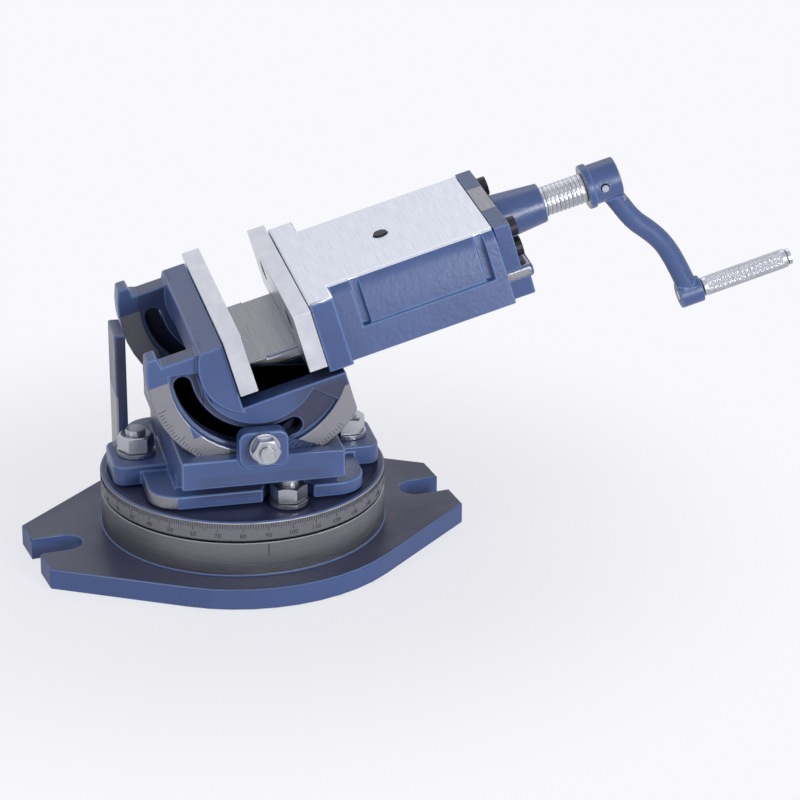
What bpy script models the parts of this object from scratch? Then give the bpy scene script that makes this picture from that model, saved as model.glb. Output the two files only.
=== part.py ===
"""Swivel tilting vise: a slotted base, a graduated turntable, a saddle, a tilting body and a screw-driven jaw.

Metres, +Z up. The origin is the centre of the base plate's underside, and +X runs along the plate's two
open slots. The turntable turns about Z, the body tilts about a level axis above the saddle, the moving
jaw slides along the tilted body, the screw turns in the moving jaw's rear bracket, and the knurled
sleeve spins on the crank. Run it with blender --background --python part.py.
"""

import math

import bmesh
import bpy
from mathutils import Matrix, Vector

# Pose of the vise at rest
swivel_at_rest = math.radians(-8.0)
tilt_at_rest = math.radians(15.8)

# Clearances and overruns
gap = 0.0003
overrun = 0.004
sink = 0.0010
merge = 0.00001

# Base plate
base_length = 0.1780
base_end_width = 0.044
base_margin = 0.0125
plate_thickness = 0.009
plate_edge_round = 0.0014
base_slot_width = 0.014
base_slot_depth = 0.0195

# Graduated rings and the annular T groove
ring_radius = 0.0585
lower_ring_height = 0.0145
turntable_height = 0.0088
ring_chamfer = 0.0006
groove_inset = 0.0145
groove_neck_width = 0.0092
groove_neck_depth = 0.0060
groove_wide_width = 0.0160
groove_wide_depth = 0.0066
turntable_land_width = 0.0030
turntable_recess_depth = 0.0006

# Centre post
post_radius = 0.0090
post_flange_radius = 0.0140
post_flange_thickness = 0.0030

# Clamping bolts of the turntable and the saddle
bolt_radius = 0.0040
bolt_head_radius = 0.0070
bolt_head_thickness = 0.0050
nut_across_flats = 0.0130
nut_height = 0.0065
washer_radius = 0.0080
washer_thickness = 0.0016
bolt_end_above_nut = 0.0022
turntable_bolt_angles = (math.radians(-75.0), math.radians(105.0))
lug_bolt_angles = (0.0, math.radians(180.0))

# Saddle
foot_side_inset = 0.0170
foot_corner_radius = 0.0120
foot_thickness = 0.0057
foot_notch_radius = 0.0105
lug_inset = 0.0035
lug_half_width = 0.0140
lug_corner_radius = 0.0050
lug_thickness = 0.0084
waist_height = 0.0064
waist_inset = 0.0110
cradle_floor = 0.0027
cheek_height = 0.0120
cheek_thickness = 0.0060
bracket_half_width = 0.0100
bracket_top_above_bolt = 0.0061
bracket_corner_radius = 0.0040
post_wall_clearance = 0.0004
post_wall_thickness = 0.0046
post_wall_near = 0.0100
post_wall_far = 0.0290
post_wall_top_below_axis = 0.0040
ear_clearance = 0.0010
ear_start = math.radians(178.0)
ear_end = math.radians(245.0)

# Tilting body, in its own frame: X along the jaw's travel, Z square to the bed, origin on the tilt axis
arc_radius = 0.0450
flange_inner_side = 0.0340
flange_outer_side = 0.0440
flange_top = -0.0145
flange_right_inset = 0.0130
hook_angle = math.radians(156.5)
hook_root_inset = 0.0085
shoulder_height = 0.0135
rim_width = 0.0090
web_recess_depth = 0.0030
web_recess_width = 0.0115
web_recess_start = math.radians(166.0)
web_recess_end = math.radians(316.0)
slot_arc_inset = 0.0140
slot_arc_width = 0.0070
slot_arc_start = math.radians(176.0)
slot_arc_end = math.radians(281.0)
core_depth = 0.0210
core_inset = 0.0008
floor_thickness = 0.0050
floor_inset = 0.0006
floor_start = math.radians(208.0)
floor_end = math.radians(313.5)
pedestal_left = -0.0165
pedestal_right = 0.0050
pedestal_bottom = -0.0160
pedestal_hole_radius = 0.0022
pedestal_hole_depth = 0.0080
pedestal_hole_place = (0.0010, -0.0100)

# Jaws
jaw_top = 0.0180
jaw_half_width = 0.0500
jaw_plate_thickness = 0.0075
jaw_plate_bottom = -0.0070
jaw_plate_notch_top = -0.0025
jaw_block_half_width = 0.0470
jaw_block_top = 0.0150
jaw_block_arc_centre = (-0.0020, 0.0040)
jaw_block_arc_radius = 0.0220
fixed_plate_face = -0.0035
jaw_opening_at_rest = 0.0214

# Bed
bed_top = -0.0030
bed_half_width = 0.0300
rail_thickness = 0.0060
stem_half_width = 0.0170
stem_bottom = -0.0220
bed_end = 0.1180
bed_round = 0.0012

# Moving jaw
head_length = 0.0106
head_half_width = 0.0440
head_wall = 0.0080
head_edge_round = 0.0006
hood_length = 0.0801
hood_bottom = -0.0130
land_half_width = 0.0312
shoulder_half_width = 0.0362
shoulder_drop = 0.0050
hood_half_width = 0.0400
nut_bay_half_width = 0.0143
nut_bay_top = 0.0147
keeper_outer_side = 0.0357
keeper_thickness = 0.0037
keeper_front_inset = 0.0060
keeper_rear_inset = 0.0020
keeper_screw_shares = (0.12, 0.5, 0.88)
keeper_screw_side = 0.0331
panel_start = 0.0225
panel_length = 0.0490
panel_bottom = -0.0010
panel_depth = 0.0012
groove_width = 0.0034
groove_depth = 0.0036

# Lead screw, its nut and the rear bracket
screw_axis = 0.0075
screw_radius = 0.0056
shank_radius = 0.0060
screw_start = 0.0370
screw_nut_start = 0.0700
screw_nut_length = 0.0140
screw_nut_half_width = 0.0132
screw_nut_top = 0.0142
nut_screw_side = 0.0098
rear_bracket_thickness = 0.0067
rear_bracket_half_width = 0.0330
rear_bracket_bottom = -0.0025
boss_root_radius = 0.0100
boss_end_radius = 0.0082
boss_length = 0.0200
retaining_ring_radius = 0.0085
retaining_ring_length = 0.0030
bracket_screw_side = 0.0240
bracket_screw_heights = (0.0035, 0.0125)

# Crank and sleeve
exposed_shank = 0.0180
hub_radius = 0.0084
hub_length = 0.0150
hub_collar_radius = 0.0094
hub_collar_length = 0.0030
spigot_radius = 0.0048
arm_radius = 0.0044
crank_throw = 0.0605
arm_reach = 0.0245
arm_drop_shares = (0.0, 0.12, 0.34, 0.46, 0.60, 0.82, 1.0)
arm_reach_shares = (0.0, 0.16, 0.36, 0.60, 0.80, 0.93, 1.0)
eye_radius = 0.0056
eye_length = 0.0100
spindle_radius = 0.0022
spindle_head_radius = 0.0034
spindle_head_thickness = 0.0014
sleeve_radius = 0.0042
sleeve_length = 0.0380
hub_pin_radius = 0.0015

# Clamping bolts of the tilt
tilt_bolt_radius = 0.0030
tilt_head_radius = 0.0052
tilt_head_thickness = 0.0050
tilt_nut_across_flats = 0.0100
tilt_nut_height = 0.0052
tilt_washer_radius = 0.0062

# Small screws: head radius, head height, shank radius, shank length, socket across flats, socket depth
cap_screw = (0.0042, 0.0042, 0.0025, 0.0095, 0.0040, 0.0022)
bracket_screw = (0.0040, 0.0036, 0.0024, 0.0130, 0.0038, 0.0020)
nut_screw = (0.0026, 0.0024, 0.0015, 0.0220, 0.0022, 0.0012)
keeper_screw = (0.0021, 0.0014, 0.0012, 0.0080, 0.0018, 0.0008)
jaw_screw_side = 0.0280
jaw_screw_height = 0.0080
oil_plug_radius = 0.0028
oil_plug_depth = 0.0024
oil_plug_proud = 0.0006
oil_plug_from_head = 0.0400

# Faceting
ring_sides = 72
arc_step = math.radians(7.5)
round_sides = 24
small_sides = 16
tiny_sides = 8

# Heights and places worked out from the sizes above
base_round_radius = ring_radius + base_margin
groove_radius = ring_radius - groove_inset
lower_ring_top = plate_thickness + lower_ring_height
turntable_bottom = lower_ring_top + gap
turntable_top = turntable_bottom + turntable_height
foot_bottom = turntable_top + gap
foot_top = foot_bottom + foot_thickness
lug_top = foot_bottom + lug_thickness
lug_reach = ring_radius - lug_inset
foot_half_length = groove_radius
foot_half_width = ring_radius - foot_side_inset
waist_half = groove_radius - waist_inset
cradle_bottom = foot_top + waist_height
cheek_top = cradle_bottom + cheek_height
groove_step = lower_ring_top - groove_neck_depth
groove_floor = groove_step - groove_wide_depth
cheek_inner_side = flange_outer_side + gap
cheek_outer_side = cheek_inner_side + cheek_thickness
bracket_outer_side = cheek_outer_side + sink
seat_radius = arc_radius + gap
tilt_axis_height = cradle_bottom + cradle_floor + seat_radius
slot_arc_radius = arc_radius - slot_arc_inset
core_radius = arc_radius - core_depth
web_recess_outer_radius = arc_radius - rim_width
web_recess_inner_radius = web_recess_outer_radius - web_recess_width
flange_right = arc_radius - flange_right_inset
hook_root = hook_root_inset - arc_radius
tilt_bolt_height = tilt_axis_height - slot_arc_radius
bracket_top = tilt_bolt_height + bracket_top_above_bolt
post_wall_right = -arc_radius - post_wall_clearance
post_wall_left = post_wall_right - post_wall_thickness
ear_inner_radius = math.hypot(*jaw_block_arc_centre) + jaw_block_arc_radius + ear_clearance
fixed_plate_back = fixed_plate_face - jaw_plate_thickness
jaw_block_front = fixed_plate_back - gap
moving_plate_face = fixed_plate_face + jaw_opening_at_rest
moving_plate_back = moving_plate_face + jaw_plate_thickness
head_front = moving_plate_back + gap
head_back = head_front + head_length
hood_back = head_front + hood_length
nut_bay_front = head_front + head_wall
rear_bracket_front = hood_back + gap
rear_bracket_back = rear_bracket_front + rear_bracket_thickness
boss_end = rear_bracket_back + boss_length
hub_start = boss_end + exposed_shank
hub_end = hub_start + hub_length
hub_middle = (hub_start + hub_end) / 2
eye_middle = hub_middle + arm_reach
sleeve_start = eye_middle + eye_length / 2 + gap
sleeve_end = sleeve_start + sleeve_length
keeper_top = bed_top - rail_thickness - gap
keeper_bottom = keeper_top - keeper_thickness
keeper_front = head_front + keeper_front_inset
keeper_back = hood_back - keeper_rear_inset

# What is painted, machined or plated: colour, roughness, metallic
finishes = {
    "blue_enamel": ((0.09, 0.16, 0.38, 1.0), 0.40, 0.0),
    "ground_steel": ((0.62, 0.63, 0.66, 1.0), 0.34, 1.0),
    "turned_steel": ((0.42, 0.40, 0.41, 1.0), 0.38, 1.0),
    "bright_plating": ((0.72, 0.73, 0.75, 1.0), 0.25, 1.0),
    "black_oxide": ((0.05, 0.05, 0.06, 1.0), 0.50, 0.6),
    "bronze": ((0.52, 0.34, 0.14, 1.0), 0.40, 1.0),
}


def clear_scene():
    for old in list(bpy.data.objects):
        bpy.data.objects.remove(old, do_unlink=True)
    for old in list(bpy.data.collections):
        bpy.data.collections.remove(old)


def make_collection(name):
    collection = bpy.data.collections.new(name)
    bpy.context.scene.collection.children.link(collection)
    return collection


def make_finish(name):
    colour, roughness, metallic = finishes[name]
    material = bpy.data.materials.new(name)
    material.use_nodes = True
    shader = material.node_tree.nodes["Principled BSDF"]
    shader.inputs["Base Color"].default_value = colour
    shader.inputs["Roughness"].default_value = roughness
    shader.inputs["Metallic"].default_value = metallic
    material.diffuse_color = colour
    return material


def make_axis(name, parent=None, place=(0, 0, 0), turn_y=0.0, turn_z=0.0):
    """An empty on a joint's axis."""
    empty = bpy.data.objects.new(name, None)
    parts.objects.link(empty)
    empty.location = place
    empty.rotation_euler = (0, turn_y, turn_z)
    empty.parent = parent
    return empty


def take_over(thing, collection):
    """Moves an object into one collection only."""
    for owner in list(thing.users_collection):
        owner.objects.unlink(thing)
    collection.objects.link(thing)


def settle(thing):
    """Applies the object's own place to its mesh, so that it sits at its parent's origin."""
    thing.data.transform(thing.matrix_basis)
    thing.matrix_basis = Matrix.Identity(4)
    return thing


def as_shape(name, mesh):
    thing = bpy.data.objects.new(name, mesh)
    cutters.objects.link(thing)
    return thing


def weld(mesh):
    """Merges doubles and points the faces outwards."""
    work = bmesh.new()
    work.from_mesh(mesh)
    bmesh.ops.remove_doubles(work, verts=work.verts, dist=merge)
    bmesh.ops.dissolve_degenerate(work, dist=merge, edges=work.edges)
    bmesh.ops.recalc_face_normals(work, faces=work.faces)
    work.to_mesh(mesh)
    work.free()
    return mesh


def baked(thing):
    """The object's mesh with its modifiers applied, as a new mesh."""
    bpy.context.view_layer.update()
    return bpy.data.meshes.new_from_object(thing.evaluated_get(bpy.context.evaluated_depsgraph_get()))


def box(low, high):
    bpy.ops.mesh.primitive_cube_add(size=1)
    thing = bpy.context.active_object
    take_over(thing, cutters)
    low = Vector(low)
    high = Vector(high)
    thing.matrix_basis = Matrix.Translation((low + high) / 2) @ Matrix.Diagonal((*(high - low), 1))
    return settle(thing)


def rod(radius, start, end, sides=round_sides, end_radius=None):
    """A cylinder, or a cone, between two points."""
    start = Vector(start)
    end = Vector(end)
    along = end - start
    bpy.ops.mesh.primitive_cone_add(
        vertices=sides,
        radius1=radius,
        radius2=radius if end_radius is None else end_radius,
        depth=along.length,
    )
    thing = bpy.context.active_object
    take_over(thing, cutters)
    turn = along.to_track_quat("Z", "Y").to_matrix().to_4x4()
    thing.matrix_basis = Matrix.Translation((start + end) / 2) @ turn
    return settle(thing)


def hexagon(across_flats, start, end):
    return rod(across_flats / math.sqrt(3), start, end, sides=6)


# How an outline drawn flat is stood up in each plane
planes = {
    "XY": Matrix.Identity(4),
    "XZ": Matrix(((1, 0, 0, 0), (0, 0, -1, 0), (0, 1, 0, 0), (0, 0, 0, 1))),
    "YZ": Matrix(((0, 0, 1, 0), (1, 0, 0, 0), (0, 1, 0, 0), (0, 0, 0, 1))),
}


def slab(points, plane, low, high):
    """A flat outline given in a plane, made solid between two places square to that plane."""
    outline = bpy.data.curves.new("outline", "CURVE")
    outline.dimensions = "2D"
    outline.fill_mode = "BOTH"
    outline.extrude = abs(high - low) / 2
    spline = outline.splines.new("POLY")
    spline.points.add(len(points) - 1)
    for point, (x, y) in zip(spline.points, points):
        point.co = (x, y, 0, 1)
    spline.use_cyclic_u = True
    drawn = bpy.data.objects.new("outline", outline)
    cutters.objects.link(drawn)
    mesh = weld(baked(drawn))
    bpy.data.objects.remove(drawn)
    middle = (low + high) / 2
    lift = -middle if plane == "XZ" else middle
    mesh.transform(planes[plane] @ Matrix.Translation((0, 0, lift)))
    return as_shape("slab", mesh)


def turned(profile, sides=ring_sides):
    """A closed profile of (radius, height) points, turned about Z."""
    mesh = bpy.data.meshes.new("profile")
    corners = [(radius, 0, height) for radius, height in profile]
    mesh.from_pydata(corners, [(i, (i + 1) % len(corners)) for i in range(len(corners))], [])
    thing = as_shape("profile", mesh)
    screw = thing.modifiers.new("turn", "SCREW")
    screw.steps = sides
    screw.render_steps = sides
    screw.use_merge_vertices = True
    screw.merge_threshold = merge
    spun = weld(baked(thing))
    bpy.data.objects.remove(thing)
    return as_shape("turned", spun)


def tube(points, radius):
    """A round bar along a smooth line of points."""
    line = bpy.data.curves.new("line", "CURVE")
    line.dimensions = "3D"
    line.bevel_depth = radius
    line.bevel_resolution = 3
    line.resolution_u = 3
    line.use_fill_caps = True
    spline = line.splines.new("NURBS")
    spline.points.add(len(points) - 1)
    for point, place in zip(spline.points, points):
        point.co = (*place, 1)
    spline.order_u = 3
    spline.use_endpoint_u = True
    drawn = bpy.data.objects.new("line", line)
    cutters.objects.link(drawn)
    mesh = weld(baked(drawn))
    bpy.data.objects.remove(drawn)
    return as_shape("tube", mesh)


def arc(radius, start, end, centre=(0, 0)):
    """Points along an arc, both ends included."""
    steps = max(2, round(abs(end - start) / arc_step))
    return [
        (
            centre[0] + radius * math.cos(start + (end - start) * i / steps),
            centre[1] + radius * math.sin(start + (end - start) * i / steps),
        )
        for i in range(steps + 1)
    ]


def rounded_rectangle(low, high, radius):
    """Outline of a rectangle with round corners."""
    corners = [
        (high[0] - radius, high[1] - radius),
        (low[0] + radius, high[1] - radius),
        (low[0] + radius, low[1] + radius),
        (high[0] - radius, low[1] + radius),
    ]
    points = []
    for quarter, centre in enumerate(corners):
        points += arc(radius, quarter * math.pi / 2, (quarter + 1) * math.pi / 2, centre)
    return points


def ring_sector(inner, outer, start, end):
    """Outline of a piece of a flat ring."""
    return arc(outer, start, end) + arc(inner, end, start)


def curved_slot(radius, width, start, end):
    """Outline of a slot along an arc, with round ends."""
    half = width / 2
    far_end = (radius * math.cos(end), radius * math.sin(end))
    near_end = (radius * math.cos(start), radius * math.sin(start))
    return [
        *arc(radius + half, start, end)[:-1],
        *arc(half, end, end + math.pi, far_end)[:-1],
        *arc(radius - half, end, start)[:-1],
        *arc(half, start + math.pi, start + 2 * math.pi, near_end)[:-1],
    ]


def joined(first, *others):
    """Boolean union, baked, so that several shapes are one solid."""
    for other in others:
        combine(first, other, "UNION")
    return first


def cut(first, *others):
    for other in others:
        combine(first, other, "DIFFERENCE")
    return first


def combine(first, other, operation):
    change = first.modifiers.new(operation.lower(), "BOOLEAN")
    change.operation = operation
    change.solver = "EXACT"
    change.object = other
    mesh = baked(first)
    first.modifiers.clear()
    first.data = weld(mesh)
    bpy.data.objects.remove(other)


def soften(thing, width, segments=2):
    """Rounds the sharp edges of a shape that has not been cut yet."""
    rounding = thing.modifiers.new("rounded edges", "BEVEL")
    rounding.width = width
    rounding.segments = segments
    rounding.limit_method = "ANGLE"
    rounding.angle_limit = math.radians(40)
    mesh = baked(thing)
    thing.modifiers.clear()
    thing.data = weld(mesh)
    return thing


def finish_part(thing, name, finish, parent):
    """Names a finished solid, gives it its finish and hangs it on its axis."""
    take_over(thing, parts)
    thing.name = name
    thing.data.name = name
    thing.data.materials.clear()
    thing.data.materials.append(materials[finish])
    thing.data.shade_smooth()
    thing.data.set_sharp_from_angle(angle=math.radians(35))
    thing.parent = parent
    return thing


def finish_each(shapes, name, finish, parent):
    """Names the pieces of a set of identical fasteners name_1, name_2 and so on."""
    for number, shape in enumerate(shapes, 1):
        finish_part(shape, f"{name}_{number}", finish, parent)


def mirrored_y(shape):
    """A copy on the other side of the XZ plane."""
    mesh = shape.data.copy()
    mesh.transform(Matrix.Diagonal((1, -1, 1, 1)))
    return as_shape("mirrored", weld(mesh))


def screw_body(sizes, head_end, direction, sides=small_sides):
    """A socket-head screw: head_end is the outer face of its head, direction points into the work."""
    head_radius, head_height, shank, length, across_flats, socket_depth = sizes
    inward = Vector(direction)
    outer = Vector(head_end)
    seat = outer + inward * head_height
    body = rod(head_radius, outer, seat, sides)
    joined(body, rod(shank, seat - inward * head_height / 3, seat + inward * length, sides))
    return cut(body, hexagon(across_flats, outer - inward * overrun, outer + inward * socket_depth))


def screw_room(sizes, head_end, direction, sides=small_sides):
    """The stepped hole such a screw sits in, open past its head."""
    head_radius, head_height, shank, length, _, _ = sizes
    inward = Vector(direction)
    outer = Vector(head_end)
    seat = outer + inward * (head_height + gap)
    hole = rod(head_radius + gap, outer - inward * overrun, seat, sides)
    return joined(hole, rod(shank + gap, seat - inward * head_height / 2, seat + inward * (length + gap), sides))


def base_outline():
    """Round front and back, running in straight tangents to the two slotted ends."""
    end_x = base_length / 2
    end_y = base_end_width / 2
    touch = math.atan2(end_y, end_x) + math.acos(base_round_radius / math.hypot(end_x, end_y))
    back = arc(base_round_radius, touch, math.pi - touch)
    front = arc(base_round_radius, math.pi + touch, 2 * math.pi - touch)
    return [(end_x, -end_y), (end_x, end_y), *back, (-end_x, end_y), (-end_x, -end_y), *front]


def slot_outline(side):
    """An open slot in one end of the plate, with a round inner end."""
    outer = base_length / 2 + overrun
    half = base_slot_width / 2
    centre = base_length / 2 - base_slot_depth + half
    inner = arc(half, math.pi / 2, 3 * math.pi / 2, (centre, 0))
    return [(side * x, y) for x, y in [(outer, half), *inner, (outer, -half)]]


def make_base(parent):
    plate = soften(slab(base_outline(), "XY", 0, plate_thickness), plate_edge_round)
    for side in (-1, 1):
        cut(plate, slab(slot_outline(side), "XY", -overrun, plate_thickness + overrun))
    joined(plate, rod(ring_radius, (0, 0, plate_thickness / 2), (0, 0, lower_ring_top), ring_sides))
    neck = groove_neck_width / 2
    wide = groove_wide_width / 2
    open_end = lower_ring_top + overrun
    profile = [
        (groove_radius + neck, open_end),
        (groove_radius + neck, groove_step),
        (groove_radius + wide, groove_step),
        (groove_radius + wide, groove_floor),
        (groove_radius - wide, groove_floor),
        (groove_radius - wide, groove_step),
        (groove_radius - neck, groove_step),
        (groove_radius - neck, open_end),
    ]
    cut(plate, turned(profile))
    cut(plate, rod(post_radius + gap, (0, 0, -overrun), (0, 0, open_end)))
    cut(plate, rod(post_flange_radius + gap, (0, 0, -overrun), (0, 0, post_flange_thickness + gap)))
    finish_part(plate, "base_plate", "blue_enamel", parent)


def make_centre_post(parent):
    post = rod(post_radius, (0, 0, post_flange_thickness / 2), (0, 0, turntable_top - gap))
    joined(post, rod(post_flange_radius, (0, 0, 0), (0, 0, post_flange_thickness)))
    finish_part(post, "centre_post", "turned_steel", parent)


def bolt_place(angle, height):
    return (groove_radius * math.cos(angle), groove_radius * math.sin(angle), height)


def make_turntable(parent):
    bore = post_radius + gap
    recess_radius = ring_radius - turntable_land_width
    floor = turntable_top - turntable_recess_depth
    profile = [
        (ring_radius - ring_chamfer, turntable_bottom),
        (bore, turntable_bottom),
        (bore, floor),
        (recess_radius, floor),
        (recess_radius, turntable_top),
        (ring_radius - ring_chamfer, turntable_top),
        (ring_radius, turntable_top - ring_chamfer),
        (ring_radius, turntable_bottom + ring_chamfer),
    ]
    disc = turned(profile)
    for angle in (*turntable_bolt_angles, *lug_bolt_angles):
        low = bolt_place(angle, turntable_bottom - overrun)
        high = bolt_place(angle, turntable_top + overrun)
        cut(disc, rod(bolt_radius + gap, low, high, small_sides))
    finish_part(disc, "turntable", "turned_steel", parent)


def make_clamp_bolts(parent):
    bolts = []
    washers = []
    nuts = []
    head_top = groove_step - gap
    for angle in (*turntable_bolt_angles, *lug_bolt_angles):
        seat = lug_top if angle in lug_bolt_angles else turntable_top
        washer_low = seat + gap
        washer_high = washer_low + washer_thickness
        nut_low = washer_high + gap
        nut_high = nut_low + nut_height
        top = bolt_place(angle, nut_high + bolt_end_above_nut)
        bolt = rod(bolt_radius, bolt_place(angle, head_top - sink), top, small_sides)
        head_low = bolt_place(angle, head_top - bolt_head_thickness)
        bolts.append(joined(bolt, rod(bolt_head_radius, head_low, bolt_place(angle, head_top), small_sides)))
        washer = rod(washer_radius, bolt_place(angle, washer_low), bolt_place(angle, washer_high))
        nut = hexagon(nut_across_flats, bolt_place(angle, nut_low), bolt_place(angle, nut_high))
        for piece, group in ((washer, washers), (nut, nuts)):
            group.append(cut(piece, rod(bolt_radius + gap, bolt_place(angle, foot_bottom), top, small_sides)))
    finish_each(bolts, "clamp_bolt", "bright_plating", parent)
    finish_each(washers, "clamp_washer", "bright_plating", parent)
    finish_each(nuts, "clamp_nut", "bright_plating", parent)


def make_saddle(parent):
    axis = tilt_axis_height
    foot_outline = rounded_rectangle(
        (-foot_half_length, -foot_half_width), (foot_half_length, foot_half_width), foot_corner_radius
    )
    saddle = slab(foot_outline, "XY", foot_bottom, foot_top)
    lug_outline = rounded_rectangle((-lug_reach, -lug_half_width), (lug_reach, lug_half_width), lug_corner_radius)
    joined(saddle, slab(lug_outline, "XY", foot_bottom, lug_top))
    for angle in turntable_bolt_angles:
        low = bolt_place(angle, foot_bottom - overrun)
        cut(saddle, rod(foot_notch_radius, low, bolt_place(angle, foot_top + overrun)))
    waist_low = (-waist_half, -waist_half, foot_top - sink)
    joined(saddle, box(waist_low, (waist_half, waist_half, cheek_top - sink)))
    cradle_low = (-waist_half, -cheek_outer_side, cradle_bottom)
    joined(saddle, box(cradle_low, (waist_half, cheek_outer_side, cheek_top)))
    bracket_low = cheek_top - bracket_corner_radius
    bracket_outline = rounded_rectangle(
        (-bracket_half_width, bracket_low), (bracket_half_width, bracket_top), bracket_corner_radius
    )
    for side in (-1, 1):
        sides = sorted((side * (cheek_inner_side - sink), side * bracket_outer_side))
        joined(saddle, slab(bracket_outline, "XZ", *sides))
    cut(saddle, rod(seat_radius, (0, -cheek_inner_side, axis), (0, cheek_inner_side, axis), ring_sides))
    wall_low = (post_wall_left, post_wall_near, foot_bottom)
    joined(saddle, box(wall_low, (sink - foot_half_length, post_wall_far, foot_top)))
    wall_high = (post_wall_right, post_wall_far, axis - post_wall_top_below_axis)
    joined(saddle, box(wall_low, wall_high))
    ear = ring_sector(ear_inner_radius, arc_radius - sink, ear_start, ear_end)
    ear_outline = [(x, z + axis) for x, z in ear]
    joined(saddle, slab(ear_outline, "XZ", cheek_inner_side, bracket_outer_side - sink / 2))
    for angle in lug_bolt_angles:
        low = bolt_place(angle, foot_bottom - overrun)
        cut(saddle, rod(bolt_radius + gap, low, bolt_place(angle, lug_top + overrun), small_sides))
    for side in (-1, 1):
        near = (0, side * flange_outer_side, tilt_bolt_height)
        far = (0, side * (bracket_outer_side + overrun), tilt_bolt_height)
        cut(saddle, rod(tilt_bolt_radius + gap, near, far, small_sides))
    finish_part(saddle, "saddle", "blue_enamel", parent)


def make_tilt_clamps(parent):
    bolts = []
    washers = []
    nuts = []
    head_outer = flange_inner_side - gap
    washer_start = bracket_outer_side + gap
    washer_end = washer_start + washer_thickness
    nut_start = washer_end + gap
    nut_end = nut_start + tilt_nut_height
    for side in (-1, 1):
        places = [
            (0, side * y, tilt_bolt_height)
            for y in (
                head_outer - tilt_head_thickness,
                head_outer,
                head_outer - sink,
                nut_end + bolt_end_above_nut,
                washer_start,
                washer_end,
                nut_start,
                nut_end,
            )
        ]
        bolt = rod(tilt_bolt_radius, places[2], places[3], small_sides)
        bolts.append(joined(bolt, rod(tilt_head_radius, places[0], places[1], small_sides)))
        washer = rod(tilt_washer_radius, places[4], places[5])
        nut = hexagon(tilt_nut_across_flats, places[6], places[7])
        for piece, group in ((washer, washers), (nut, nuts)):
            group.append(cut(piece, rod(tilt_bolt_radius + gap, places[1], places[3], small_sides)))
    finish_each(bolts, "tilt_bolt", "bright_plating", parent)
    finish_each(washers, "tilt_washer", "bright_plating", parent)
    finish_each(nuts, "tilt_nut", "bright_plating", parent)


def flange_outline():
    """One side of the tilting body: a round rim with a hook at the rear and a flat top under the jaws."""
    right_angle = 2 * math.pi - math.acos(flange_right / arc_radius)
    hook_inner = arc_radius - rim_width / 2
    hook_tip = (hook_inner * math.cos(hook_angle), arc_radius * math.sin(hook_angle))
    inside = jaw_block_front - sink
    return [
        (flange_right, flange_top),
        (inside, flange_top),
        (inside, shoulder_height),
        (hook_root, shoulder_height),
        hook_tip,
        *arc(arc_radius, hook_angle, right_angle),
    ]


def jaw_block_outline():
    """The fixed jaw from the side, round at the back and below."""
    centre_x, centre_z = jaw_block_arc_centre
    radius = jaw_block_arc_radius
    top_angle = math.pi - math.asin((jaw_block_top - centre_z) / radius)
    bottom_angle = 2 * math.pi - math.acos((jaw_block_front - centre_x) / radius)
    return [(jaw_block_front, jaw_block_top), *arc(radius, top_angle, bottom_angle, jaw_block_arc_centre)]


def core_outline():
    """The bridge between the two flanges, under the jaws."""
    right = flange_right - core_inset
    top = flange_top - core_inset
    left_angle = math.pi + math.asin(-top / core_radius)
    return [(right, top), *arc(core_radius, left_angle, 1.5 * math.pi), (right, -core_radius)]


def jaw_screw_place(side, face_x):
    return (face_x, side * jaw_screw_side, jaw_screw_height)


def nut_screw_place(side):
    return (screw_nut_start + screw_nut_length / 2, side * nut_screw_side, screw_nut_top - gap)


def make_body(parent):
    inner = flange_inner_side
    outer = flange_outer_side
    body = slab(jaw_block_outline(), "XZ", -jaw_block_half_width, jaw_block_half_width)
    joined(body, slab(core_outline(), "XZ", -inner - sink, inner + sink))
    for side in (-1, 1):
        joined(body, slab(flange_outline(), "XZ", *sorted((side * inner, side * outer))))
    floor_outer = arc_radius - floor_inset
    floor_outline = ring_sector(floor_outer - floor_thickness, floor_outer, floor_start, floor_end)
    joined(body, slab(floor_outline, "XZ", -inner - sink, inner + sink))
    pedestal_low = (pedestal_left, -bed_half_width, pedestal_bottom)
    joined(body, box(pedestal_low, (pedestal_right, bed_half_width, bed_top)))
    rails_low = (pedestal_left + sink, -bed_half_width, bed_top - rail_thickness)
    joined(body, soften(box(rails_low, (bed_end, bed_half_width, bed_top)), bed_round, segments=1))
    stem_low = (pedestal_left + sink, -stem_half_width, stem_bottom)
    joined(body, box(stem_low, (bed_end, stem_half_width, bed_top - sink)))
    recess = ring_sector(web_recess_inner_radius, web_recess_outer_radius, web_recess_start, web_recess_end)
    slot = curved_slot(slot_arc_radius, slot_arc_width, slot_arc_start, slot_arc_end)
    hole_x, hole_z = pedestal_hole_place
    for side in (-1, 1):
        cut(body, slab(recess, "XZ", *sorted((side * (outer - web_recess_depth), side * (outer + gap)))))
        cut(body, slab(slot, "XZ", *sorted((side * (inner - 2 * sink), side * (outer + overrun)))))
        hole_start = (hole_x, side * (bed_half_width + overrun), hole_z)
        hole_end = (hole_x, side * (bed_half_width - pedestal_hole_depth), hole_z)
        cut(body, rod(pedestal_hole_radius, hole_start, hole_end, small_sides))
        cut(body, screw_room(cap_screw, jaw_screw_place(side, fixed_plate_face), (-1, 0, 0)))
        cut(body, screw_room(nut_screw, nut_screw_place(side), (0, 0, -1)))
    finish_part(body, "vise_body", "blue_enamel", parent)


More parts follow.
